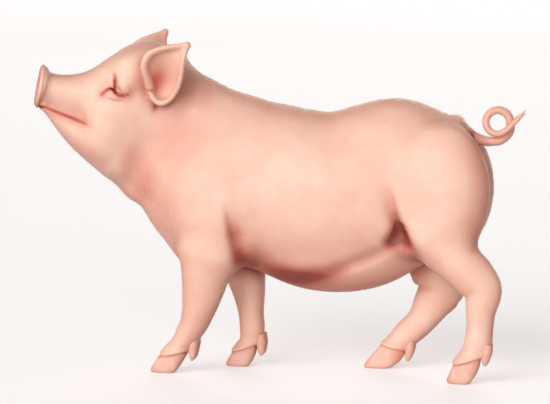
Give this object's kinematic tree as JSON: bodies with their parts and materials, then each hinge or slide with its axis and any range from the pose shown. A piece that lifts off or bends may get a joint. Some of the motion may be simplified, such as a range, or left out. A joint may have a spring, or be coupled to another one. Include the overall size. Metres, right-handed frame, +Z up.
{
  "type": "life-size model of a young domestic pig",
  "caption": "Still, life-size model of a young pink pig in mid-stride, muzzle raised, ears upright, tail curled into a loop, standing on cloven hooves.",
  "frame": {"origin": "middle of the model's footprint, on the floor that the hooves stand on", "axes": "+Z up; -X the way the pig walks, so its tail is towards +X; -Y the pig's left side"},
  "size_m": [1.115, 0.279, 0.783],
  "materials": {
    "skin": "soft matt pink skin with fine pores and a faint sheen",
    "horn": "smooth pinkish hoof horn, redder towards the toe",
    "eye": "wet, glossy dark brown"
  },
  "bodies": {
    "root": {"head": "skin", "lower_jaw": "skin", "snout_disc": "skin", "ear_left": "skin", "ear_right": "skin", "eye_left": "eye", "eye_right": "eye", "neck": "skin", "chest": "skin", "barrel": "skin", "rump": "skin", "tail_base": "skin", "tail_loop": "skin", "tail_tip": "skin", "foreleg_left": "skin", "foreleg_right": "skin", "thigh_hind_left": "skin", "thigh_hind_right": "skin", "shank_hind_left": "skin", "shank_hind_right": "skin", "hoof_fore_left_outer": "horn", "hoof_fore_left_inner": "horn", "hoof_fore_right_outer": "horn", "hoof_fore_right_inner": "horn", "hoof_hind_left_outer": "horn", "hoof_hind_left_inner": "horn", "hoof_hind_right_outer": "horn", "hoof_hind_right_inner": "horn", "dewclaw_fore_left_outer": "horn", "dewclaw_fore_left_inner": "horn", "dewclaw_fore_right_outer": "horn", "dewclaw_fore_right_inner": "horn", "dewclaw_hind_left_outer": "horn", "dewclaw_hind_left_inner": "horn", "dewclaw_hind_right_outer": "horn", "dewclaw_hind_right_inner": "horn"}
  },
  "joints": []
}
